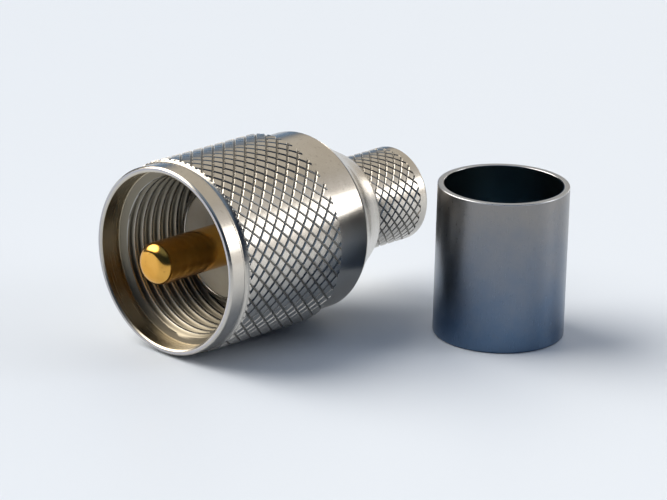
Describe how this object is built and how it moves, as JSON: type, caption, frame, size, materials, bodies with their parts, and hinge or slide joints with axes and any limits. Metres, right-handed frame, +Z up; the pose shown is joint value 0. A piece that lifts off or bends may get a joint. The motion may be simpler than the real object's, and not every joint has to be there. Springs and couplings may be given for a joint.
{
  "type": "uhf connector",
  "caption": "Crimp type UHF cable plug with a knurled coupling nut, a gold centre pin and a knurled crimp spigot, lying beside its loose crimp ferrule.",
  "frame": {"origin": "on the table plane, under the middle of the object's bounding box", "axes": "+Y along the plug's axis from the mouth towards the cable end, +Z up, +X towards the ferrule that stands beside the plug"},
  "size_m": [0.0312, 0.0354, 0.018],
  "materials": {
    "nickel_plate": "nickel plated brass, satin bright",
    "ferrule_nickel": "nickel plated tube, satin",
    "gold_plate": "gold plated, bright",
    "cream_insulator": "PTFE, cream, matt"
  },
  "bodies": {
    "plug": {"front_shell": "nickel_plate", "rear_shell": "nickel_plate", "insulator": "cream_insulator", "centre_pin": "gold_plate", "crimp_ferrule": "ferrule_nickel"},
    "nut": {"coupling_nut": "nickel_plate"}
  },
  "joints": [
    {"name": "nut_spin", "type": "hinge", "parent": "plug", "child": "nut", "pos_m": [-0.0066, -0.00717, 0.009], "axis": [0, 1, 0], "continuous": true}
  ]
}
